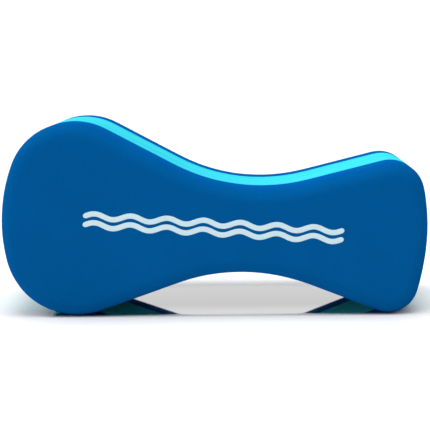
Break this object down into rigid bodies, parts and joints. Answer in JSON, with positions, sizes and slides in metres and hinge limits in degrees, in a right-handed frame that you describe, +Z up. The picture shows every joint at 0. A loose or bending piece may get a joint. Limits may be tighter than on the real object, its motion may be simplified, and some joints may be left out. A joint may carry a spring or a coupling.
{
  "type": "pull buoy",
  "caption": "Laminated foam pull buoy with a wide lobe and a narrow lobe, gripped between the thighs at its waist to float a swimmer's legs.",
  "frame": {"origin": "on the surface the buoy stands on, below the middle of its bounding box", "axes": "+X along the length towards the narrow lobe, +Y from the printed front face to the back face, +Z up with the buoy standing on the long edges of both lobes"},
  "size_m": [0.2398, 0.0806, 0.1099],
  "materials": {
    "blue_foam": "matte closed-cell foam with a fine skin",
    "cyan_foam": "matte closed-cell foam with a fine cut grain",
    "clear_glue": "satin",
    "white_ink": "satin screen print"
  },
  "bodies": {
    "root": {"front_foam_layer": "blue_foam", "middle_foam_layer": "cyan_foam", "back_foam_layer": "blue_foam", "front_glue_film": "clear_glue", "back_glue_film": "clear_glue", "upper_wave_print": "white_ink", "lower_wave_print": "white_ink"}
  },
  "joints": []
}
